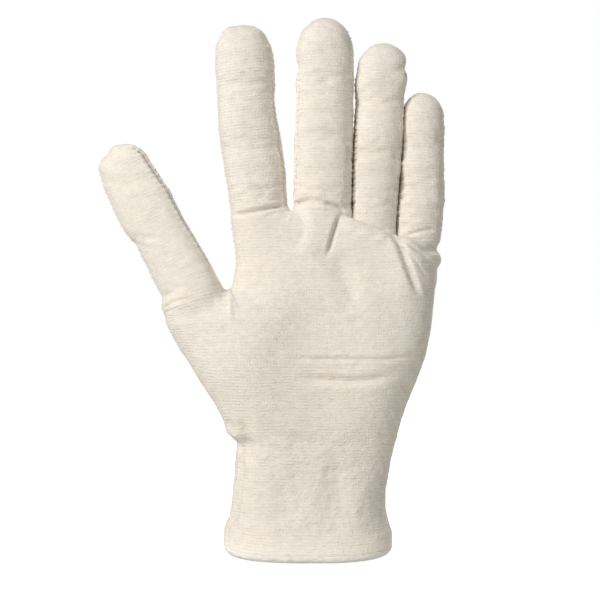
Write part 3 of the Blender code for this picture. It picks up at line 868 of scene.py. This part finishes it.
def smooth_mesh(name, points, faces):
    """Smooth-shaded mesh from points in millimetres."""
    mesh = bpy.data.meshes.new(name)
    mesh.from_pydata((hang(points) * MM).tolist(), [], faces)
    mesh.update()
    mesh.shade_smooth()
    return mesh


def add_piece(name, skin, keep, material):
    """One closed piece of cloth with an outer and an inner face."""
    quads = skin.quads[keep]
    used = np.unique(quads)
    place = np.full(len(skin.points), -1)
    place[used] = np.arange(len(used))
    quads = place[quads]
    count = len(used)
    sides = quad_sides(quads)
    _, first, times = np.unique(np.sort(sides, 1), axis=0, return_index=True,
                                return_counts=True)
    rim = sides[first[times == 1]]
    rims = np.stack([rim[:, 1], rim[:, 0], rim[:, 0] + count, rim[:, 1] + count], 1)
    faces = np.concatenate([quads, quads[:, ::-1] + count, rims])
    points = np.concatenate([skin.points[used], skin.inner[used]])
    normals = np.concatenate([skin.normals[used], skin.inner_normals[used]])
    knit = np.concatenate([skin.knit[used], skin.knit[used]])
    mesh = bpy.data.meshes.new(name)
    mesh.vertices.add(len(points))
    mesh.vertices.foreach_set("co", (hang(points) * MM).ravel())
    mesh.loops.add(len(faces) * 4)
    mesh.loops.foreach_set("vertex_index", faces.ravel().astype(np.int32))
    mesh.polygons.add(len(faces))
    mesh.polygons.foreach_set("loop_start", np.arange(len(faces), dtype=np.int32) * 4)
    mesh.update(calc_edges=True)
    mesh.validate()
    mesh.shade_smooth()
    # the hollow value goes along to the material, which paints shade into the folds with it
    attribute = mesh.attributes.new("hollow", "FLOAT", "POINT")
    hollow = skin.hollow[used].astype(np.float32)
    attribute.data.foreach_set("value", np.concatenate([hollow, hollow]))
    mesh.normals_split_custom_set_from_vertices(normals.tolist())
    return finished(name, mesh, knit, material)


# ------------------------------------------------------------------- materials
def fill(node, values):
    """Set a node's inputs by name."""
    for socket, value in values.items():
        node.inputs[socket].default_value = value


class Value:
    """A node socket that can be calculated with, as in value * 0.5 + other."""

    def __init__(self, tree, socket):
        self.tree, self.socket = tree, socket

    def math(self, kind, other=0.0):
        """Math node of this value and another."""
        node = self.tree.nodes.new("ShaderNodeMath")
        node.operation = kind
        for socket, value in zip(node.inputs, (self, other)):
            if isinstance(value, Value):
                self.tree.links.new(value.socket, socket)
            else:
                socket.default_value = value
        return Value(self.tree, node.outputs[0])

    def __add__(self, other):
        return self.math("ADD", other)

    def __sub__(self, other):
        return self.math("SUBTRACT", other)

    def __mul__(self, other):
        return self.math("MULTIPLY", other)

    def to(self, socket):
        """Feed this value into a socket."""
        self.tree.links.new(self.socket, socket)


def knit_material(name, colour, course=1.27, wale=1.05, relief=0.085, contrast=0.115, fuzz=0.30,
                  whiten=0.185):
    """Fine plain knit: courses of small loops, slubby yarn and a soft bloom of fibre.

    course and wale are the sizes of a loop, relief its bump height, contrast how much
    darker the cloth is between courses, and whiten how much paler it is at the hem,
    partly for the double cloth and partly as painted light.
    """
    material = bpy.data.materials.new(name)
    material.use_nodes = True
    tree = material.node_tree
    nodes, links = tree.nodes, tree.links
    shader = nodes["Principled BSDF"]

    def noise(vector, scale, detail=2.0, rough=0.5):
        """Noise about zero."""
        node = nodes.new("ShaderNodeTexNoise")
        fill(node, {"Scale": scale, "Detail": detail, "Roughness": rough})
        links.new(vector, node.inputs["Vector"])
        return Value(tree, node.outputs["Fac"]) - 0.5

    def scaled(vector, sizes):
        """Coordinates stretched by axis."""
        node = nodes.new("ShaderNodeVectorMath")
        node.operation = "MULTIPLY"
        links.new(vector, node.inputs[0])
        node.inputs[1].default_value = sizes
        return node.outputs[0]

    def attribute(called):
        """Node of a mesh attribute."""
        node = nodes.new("ShaderNodeAttribute")
        node.attribute_name = called
        return node

    def split(vector):
        """The three parts of a vector."""
        node = nodes.new("ShaderNodeSeparateXYZ")
        links.new(vector, node.inputs[0])
        return [Value(tree, output) for output in node.outputs]

    knit = attribute("knit").outputs["Vector"]
    place = nodes.new("ShaderNodeTexCoord").outputs["Object"]
    # loops of one course lean on the next; courses and wales wander slowly
    along_wale, _, along_course = split(knit)
    up = along_course + noise(scaled(knit, (0.07, 0.07, 0.05)), 1.0) * 1.6
    across = along_wale + noise(scaled(knit, (0.05, 0.05, 0.11)), 1.0) * 1.6
    loop = (across * (2.0 * math.pi / wale)).math("COSINE")
    rows = (up * (2.0 * math.pi / course) + loop * 0.55).math("SINE")
    slub = noise(scaled(knit, (0.27, 0.27, 0.80)), 1.0, 3.0, 0.65)
    fine = noise(place, 1500.0, 2.0, 0.6)
    loose = noise(place, 330.0, 3.0, 0.6)
    clarity = (noise(scaled(knit, (0.36, 0.36, 0.62)), 1.0, 2.0) + 0.20) * 2.4
    loops = (rows + loop * 0.38) * clarity
    bump = nodes.new("ShaderNodeBump")
    fill(bump, {"Strength": 0.85, "Distance": relief * MM})
    (loops + slub * 2.2 + fine * 3.4 + loose * 5.0).to(bump.inputs["Height"])
    links.new(bump.outputs[0], shader.inputs["Normal"])
    # darker between courses, painted shade in the hollows, mottled yarn, and paler towards the hem: partly the
    # double cloth there, partly painted light
    hollow = Value(tree, attribute("hollow").outputs["Fac"])
    # paler towards the hem: partly the double cloth, partly painted light
    near_hem = split(place)[2] * -130.0 + 0.0135 * 130.0
    hem_light_and_doubling = nodes.new("ShaderNodeClamp")
    near_hem.to(hem_light_and_doubling.inputs[0])
    # hollow * 0.10 is the painted shade in the folds; the clamped ramp near the hem is partly painted light
    level = (loops * (0.5 * contrast) + slub * 0.16 + loose * 0.21 + fine * 0.21 - hollow * 0.10
             + noise(place, 45.0, 2.0) * 0.05 + Value(tree, hem_light_and_doubling.outputs[0]) * whiten + 1.0)
    # faint warm and cool drift
    warm = noise(scaled(place, (1.0, 1.0, 1.4)), 70.0, 2.0)
    combine = nodes.new("ShaderNodeCombineColor")
    for socket, value, tint in zip(combine.inputs, colour, (0.03, 0.0, -0.05)):
        (level * value * (warm * tint + 1.0)).to(socket)
    links.new(combine.outputs[0], shader.inputs["Base Color"])
    (slub * 0.2 + 0.86).to(shader.inputs["Roughness"])
    fill(shader, {"Specular IOR Level": 0.15, "Sheen Weight": fuzz, "Sheen Roughness": 0.55,
                  "Sheen Tint": (1.0, 0.97, 0.92, 1.0)})
    return material


KNIT = knit_material("knit_cloth", (0.845, 0.790, 0.712))
THUMB_KNIT = knit_material("thumb_cloth", (0.845, 0.790, 0.712), relief=0.050, contrast=0.060)
# the hem's roll is a paler copy of the knit: partly the double cloth, partly painted light
HEM_KNIT = knit_material("hem_cloth", (0.985, 0.950, 0.885), course=1.5, relief=0.075,
                         contrast=0.05, whiten=0.0)
THREAD = knit_material("sewing_thread", (0.760, 0.730, 0.665), course=0.45, wale=0.4, relief=0.06,
                       contrast=0.12, fuzz=0.2, whiten=0.0)

ABOVE_WEB = hand_skin.centres[:, 2] > web_line(hand_skin.centres[:, 0])
ABOVE_WEB &= hand_skin.centres[:, 0] > THUMB_ROOT[0] + 2.0
ON_THUMB = in_thumb(hand_skin.centres)
ON_HAND = ~ABOVE_WEB & ~ON_THUMB & (hand_skin.centres[:, 2] > HEM_ROLL)
FRONT = hand_skin.centres[:, 1] < 0.0

palm_cloth = add_piece("palm_cloth", hand_skin, ON_HAND & FRONT, KNIT)
back_cloth = add_piece("back_cloth", hand_skin, ON_HAND & ~FRONT, KNIT)
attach(palm_cloth, "hand")
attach(back_cloth, "hand")
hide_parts("palm_panel", "fourchette_index_middle_crotch",
            "fourchette_middle_ring_crotch", "fourchette_ring_little_crotch")
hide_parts("back_panel")


def section_cloth(section, skin, keep, material, body_a, first, last):
    """Cloth of one section as one closed piece, in place of the section's CAD parts."""
    first, last = tuple(first * MM), tuple(last * MM)
    section + "_cloth"
    thing = add_piece(section + "_cloth", skin, keep, material)
    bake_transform(thing)
    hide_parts(*BODY_NODES[section])


def finger_cuts(name):
    """Bend zones and cut heights of a finger.

    The knuckle's bend runs from start to base_end, the others half_one and half_two to
    each side of their creases.  The cuts lie between the bends, where the cloth is stiff.
    """
    spec = SPEC[name]
    first, second = spec["creases"]
    start = float(web_line(spec["root"][0])) + 0.4
    length = first - start
    base_end = start + min(15.0, 0.56 * length)
    half_one = min(8.0, 0.28 * length)
    half_two = min(7.5, 0.3 * (second - first))
    cut_one = first - half_one - 0.35
    cut_two = (first + half_one + second - half_two) / 2.0
    return start, base_end, half_one, half_two, cut_one, cut_two


def finger_cloth(name):
    """The three pieces of a finger's cloth."""
    skin = finger_skins[name]
    x_root = SPEC[name]["root"][0]
    start, base_end, half_one, half_two, cut_one, cut_two = finger_cuts(name)
    height = skin.centres[:, 2]
    above = height > web_line(skin.centres[:, 0])
    # the lowest bend starts level with the slanting parting line
    slope = (web_line(x_root + 2.0) - web_line(x_root - 2.0)) / 4.0
    up = np.array([-slope, 0.0, 1.0]) / math.hypot(slope, 1.0)
    origin = np.array([x_root, 0.0, start])
    section_cloth(name + "_base", skin, above & (height <= cut_one), KNIT, "hand",
                  origin, origin + up * (base_end - start))
    for part, keep, below, crease, half in (
            ("_mid", (height > cut_one) & (height <= cut_two), "_base", 0, half_one),
            ("_tip", height > cut_two, "_mid", 1, half_two)):
        middle = SPEC[name]["creases"][crease]
        section_cloth(name + part, skin, keep, KNIT, name + below,
                      np.array([x_root, 0.0, middle - half]),
                      np.array([x_root, 0.0, middle + half]))


for name in FINGERS:
    finger_cloth(name)

along = to_thumb(hand_skin.centres)[:, 2]
for part_name, keep, body, first, last in (
        ("thumb_base", along <= THUMB_CUT, "hand", THUMB_START + 0.4, 16.5),
        ("thumb_tip", along > THUMB_CUT, "thumb_base", THUMB_CREASE - 8.5, THUMB_CREASE + 8.5)):
    section_cloth(part_name, hand_skin, ON_THUMB & keep, THUMB_KNIT, body,
                  THUMB_ROOT + THUMB_ALONG * first, THUMB_ROOT + THUMB_ALONG * last)


# ------------------------------------------------------------------ the threads
def skin_tree(skin):
    """Search tree of a skin's outer face."""
    return BVHTree.FromPolygons(skin.points.tolist(), skin.quads.tolist())


def seam_spots(tree, path, ways, pitch=STITCH_PITCH, reach=17.0):
    """Even places along a seam: surface point, normal and run of the seam."""
    steps = np.linalg.norm(np.diff(path, axis=0), axis=1)
    run = np.concatenate([[0.0], np.cumsum(steps)])

    def on_run(at, values):
        """Values at a distance along the seam."""
        return np.array([np.interp(at, run, values[:, k]) for k in range(3)])

    out = []
    for at in np.arange(pitch / 2.0, run[-1], pitch):
        spot, way = on_run(at, path), on_run(at, ways)
        ahead = on_run(at + 0.5, path) - spot
        hit, normal, _, _ = tree.ray_cast(Vector(spot + way * reach), Vector(-way), 2.0 * reach)
        if hit is not None and np.linalg.norm(ahead) > 1e-6:
            out.append((np.array(hit), np.array(normal), ahead / np.linalg.norm(ahead)))
    return out


def stitch_mesh(name, spots, reach=1.2, radius=0.28):
    """Overcast stitches: short arched threads that cross a seam."""
    sides, rings = 7, 7
    points, faces, knit = [], [], []
    for index, (place, normal, ahead) in enumerate(spots):
        across = np.cross(normal, ahead)
        across /= max(np.linalg.norm(across), 1e-9)
        slant = across + ahead * (0.34 if index % 2 else 0.16)
        slant /= np.linalg.norm(slant)
        lift = np.cross(ahead, across)
        lift *= np.sign(lift @ normal)
        aside = np.cross(slant, lift)
        base = len(points)
        for ring in range(rings):
            share = ring / (rings - 1.0) * 2.0 - 1.0
            middle = place + slant * reach * share + lift * (0.12 - 0.40 * share ** 4)
            thick = radius * math.sqrt(max(1.0 - abs(share) ** 5, 0.04))
            for side in range(sides):
                angle = 2.0 * math.pi * side / sides
                points.append(middle + thick * (math.cos(angle) * lift + math.sin(angle) * aside))
                knit.append((side * 0.24, index * 1.7, share * reach))
        for ring in range(rings - 1):
            for side in range(sides):
                then = (side + 1) % sides
                a = base + ring * sides
                faces.append((a + side, a + then, a + sides + then, a + sides + side))
        faces.append(tuple(base + side for side in reversed(range(sides))))
        faces.append(tuple(base + (rings - 1) * sides + side for side in range(sides)))
    thing = finished(name, smooth_mesh(name, np.array(points), faces), knit, THREAD)
    return thing


def sew(name, spots, zone_name=None):
    """Add the stitches of one piece of cloth; stitches on the hand itself are attached to the hand's body."""
    if not spots:
        return
    thing = stitch_mesh(name, spots)
    if zone_name is None:
        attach(thing, "hand")
    else:
        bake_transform(thing)


def finger_seams(name):
    """Paths and outward ways of a finger's seams."""
    spec = SPEC[name]
    back = FINGER_LOOK[name]["back"]
    bottom = float(web_line(spec["root"][0])) + 1.0
    heights = np.arange(bottom, spec["tip"] - 6.0, 1.0)
    left, right = finger_edges(name, heights)
    middle = (left + right) / 2.0
    out = []
    for sign in (-1.0, 1.0):
        way = np.zeros((len(heights), 3))
        way[:, 0] = sign
        if plain_side(name, sign):
            out.append((np.stack([middle, np.full(len(heights), back), heights], 1), way))
            continue
        half = strip_half(name, heights)
        for edge in (-1.0, 1.0):
            out.append((np.stack([middle, back + edge * half, heights], 1), way))
    return out


for name in FINGERS:
    tree = skin_tree(finger_skins[name])
    _, _, _, _, cut_one, cut_two = finger_cuts(name)
    spots = [spot for path, ways in finger_seams(name)
             for spot in seam_spots(tree, path, ways)]
    for part_name, low, high in (("base", 0.0, cut_one), ("mid", cut_one, cut_two),
                                 ("tip", cut_two, 999.0)):
        chosen = [spot for spot in spots if low < spot[0][2] <= high]
        sew(name + "_" + part_name + "_stitches", chosen, name + "_" + part_name + "_cloth")

hand_tree = skin_tree(hand_skin)


def thumb_place(across, depth, along):
    """Points given in the thumb's own axes."""
    return (THUMB_ROOT + np.outer(across, THUMB_AXIS) + np.outer(along, THUMB_ALONG)
            + np.outer(depth, (0.0, 1.0, 0.0)))


alongs = np.arange(THUMB_START + 9.0, THUMB_TIP - 5.0, 1.0)
middles = (np.interp(alongs, THUMB_AT_W, THUMB_LEFT)
           + np.interp(alongs, THUMB_AT_W, THUMB_RIGHT)) / 2.0
spots = []
for depth, facing in ((THUMB_SEAM_DEPTH, 1.0), (THUMB_OUTER_SEAM, -1.0)):
    seam = thumb_place(middles, np.full(len(alongs), depth), alongs)
    spots += seam_spots(hand_tree, seam, np.tile(THUMB_AXIS * facing, (len(alongs), 1)))
sew("thumb_base_stitches", [spot for spot in spots if to_thumb(spot[0])[2] <= THUMB_CUT],
    "thumb_base_cloth")
sew("thumb_tip_stitches", [spot for spot in spots if to_thumb(spot[0])[2] > THUMB_CUT],
    "thumb_tip_cloth")

# down the index side of the hand to the web, and down the wrist to the hem
spots = []
for x, y, low, high, reach in (
        (INDEX[0], 0.0, THUMB_ROOT[2] + 18.0, float(web_line(INDEX[0])) - 1.0, 17.0),
        (0.0, 0.2, HEM_TOP + 1.0, WRIST_SEAM_TOP, 60.0)):
    heights = np.arange(low, high, 1.0)
    seam = np.stack([np.full(len(heights), x), np.full(len(heights), y), heights], 1)
    outward = np.tile((-1.0, 0.0, 0.0), (len(heights), 1))
    spots += seam_spots(hand_tree, seam, outward, reach=reach)
sew("hand_side_stitches", spots)


# -------------------------------------------------------------------- the hem
# The hem's section, from inside the cuff round the roll and up its inner face: how far it
# sits inside the cuff's widest line, and its height.
HEM_PROFILE = (
    (1.25, 9.0), (1.15, 7.6), (1.1, 6.0), (1.0, 4.6), (0.7, 3.7), (0.25, 3.35), (0.04, 3.0),
    (0.05, 2.5), (0.18, 1.9), (0.5, 1.25), (1.0, 0.75), (1.6, 0.35), (2.2, 0.3), (2.7, 0.65),
    (3.0, 1.4), (3.05, 2.6), (2.9, 4.2), (2.6, 6.0), (2.2, 7.8), (1.7, 9.0))


def hem_band():
    """Turned band round the wrist: a soft roll of cloth, turned double."""
    left, front, right, back = PALM_CUT[0]
    centre = (left + right) / 2.0
    wide = (right - left) / 2.0
    steps = 360
    turn = np.arange(steps) * 2.0 * math.pi / steps
    aside, ahead = np.cos(turn), np.sin(turn)
    fit = (np.abs(aside) ** HAND_POWER + np.abs(ahead) ** HAND_POWER) ** (-1.0 / HAND_POWER)
    deep = np.where(ahead < 0.0, -front, back)
    base = np.stack([centre + wide * fit * aside, deep * fit * ahead, np.zeros(steps)], 1)
    run = np.roll(base, -1, 0) - np.roll(base, 1, 0)
    out = np.stack([run[:, 1], -run[:, 0], np.zeros(steps)], 1)
    out /= np.linalg.norm(out, axis=1)[:, None]
    rings = []
    for inset, height in HEM_PROFILE:
        ring = base + out * (HEM_FLARE - inset)
        ring[:, 2] = height
        rings.append(ring)
    points = np.concatenate(rings)
    flow = ripple(points, 17.0, 23) * 0.30 + ripple(points, 5.0, 29) * 0.09
    lower = smooth_step((3.2 - points[:, 2]) / 2.5)
    points = points + np.tile(out, (len(HEM_PROFILE), 1)) * (flow * lower)[:, None]
    rows = len(HEM_PROFILE)
    faces = []
    for row in range(rows):
        after = (row + 1) % rows
        for step in range(steps):
            then = (step + 1) % steps
            faces.append((row * steps + step, after * steps + step,
                          after * steps + then, row * steps + then))
    length = np.cumsum(np.r_[0.0, np.linalg.norm(np.diff(base, axis=0), axis=1)])
    arc = np.concatenate([[0.0], np.cumsum([math.dist(a, b) for a, b in
                                            zip(HEM_PROFILE, HEM_PROFILE[1:])])])
    knit = np.zeros((len(points), 3), np.float32)
    knit[:, 0] = np.tile(length, rows)
    knit[:, 2] = np.repeat(arc, steps)
    return finished("hem_band", smooth_mesh("hem_band", points, faces), knit, HEM_KNIT)


hem = hem_band()
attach(hem, "hand")
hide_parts("cuff_hem", "hem_stitch_line", "radial_side_seam")

# ------------------------------------------------------------------- the stage
FLOOR_LIFT = 0.98                            # keeps the floor as white as the studio behind it
floor_mesh = bpy.data.meshes.new("floor")
floor_mesh.from_pydata([(-4, -4, 0), (4, -4, 0), (4, 4, 0), (-4, 4, 0)], [], [(0, 1, 2, 3)])
FLOOR = bpy.data.materials.new("pale_floor")
FLOOR.use_nodes = True
tree = FLOOR.node_tree
floor_shader = tree.nodes["Principled BSDF"]
fill(floor_shader, {"Base Color": (0.70, 0.69, 0.66, 1.0), "Roughness": 0.9,
                    "Emission Color": (1, 1, 1, 1)})
seen = Value(tree, tree.nodes.new("ShaderNodeLightPath").outputs["Is Camera Ray"])
(seen * FLOOR_LIFT).to(floor_shader.inputs["Emission Strength"])
floor_mesh.materials.append(FLOOR)
floor = placed("floor", floor_mesh)
floor.location.z = -0.0002                   # just under the hem, so that they don't touch

world = bpy.data.worlds.new("studio")
bpy.context.scene.world = world
world.use_nodes = True
tree = world.node_tree
soft = tree.nodes["Background"]
fill(soft, {"Color": (1.0, 0.975, 0.915, 1.0), "Strength": 0.235})
white = tree.nodes.new("ShaderNodeBackground")
fill(white, {"Color": (1.0, 1.0, 1.0, 1.0), "Strength": 1.0})
path = tree.nodes.new("ShaderNodeLightPath")
mixer = tree.nodes.new("ShaderNodeMixShader")
tree.links.new(path.outputs["Is Camera Ray"], mixer.inputs[0])
tree.links.new(soft.outputs[0], mixer.inputs[1])
tree.links.new(white.outputs[0], mixer.inputs[2])
tree.links.new(mixer.outputs[0], tree.nodes["World Output"].inputs["Surface"])


def area_light(name, place, target, size, power, colour):
    """A round soft light aimed at a point."""
    data = bpy.data.lights.new(name, "AREA")
    data.shape = "DISK"
    data.size = size
    data.energy = power
    data.color = colour
    thing = placed(name, data)
    thing.location = place
    aim = Vector(target) - Vector(place)
    thing.rotation_euler = aim.to_track_quat("-Z", "Y").to_euler()


area_light("key_light", (-0.80, -0.84, 0.92), (0.0, 0.0, 0.12), 0.7, 15.2, (1.0, 0.995, 0.985))
area_light("back_light", (0.55, 1.00, 0.70), (0.0, 0.0, 0.12), 0.6, 7.5, (1.0, 0.99, 0.97))
area_light("front_light", (0.15, -1.25, 0.45), (0.0, 0.0, 0.12), 0.9, 1.1, (1.0, 0.985, 0.95))

CAMERA_BACK = 0.70                           # distance from the hand's mid plane
FRAME_WIDTH = 0.252                          # width seen at that distance
camera_data = bpy.data.cameras.new("camera")
camera = placed("camera", camera_data)
camera.location = (-0.0034, -CAMERA_BACK, 0.1075)
camera.rotation_euler = (math.pi / 2.0, 0.0, 0.0)
camera_data.sensor_width = 36.0              # millimetres, as for a full-frame camera
camera_data.lens = camera_data.sensor_width * CAMERA_BACK / FRAME_WIDTH
camera_data.clip_start = 0.01
bpy.context.scene.camera = camera
bpy.context.scene.view_settings.view_transform = "Standard"
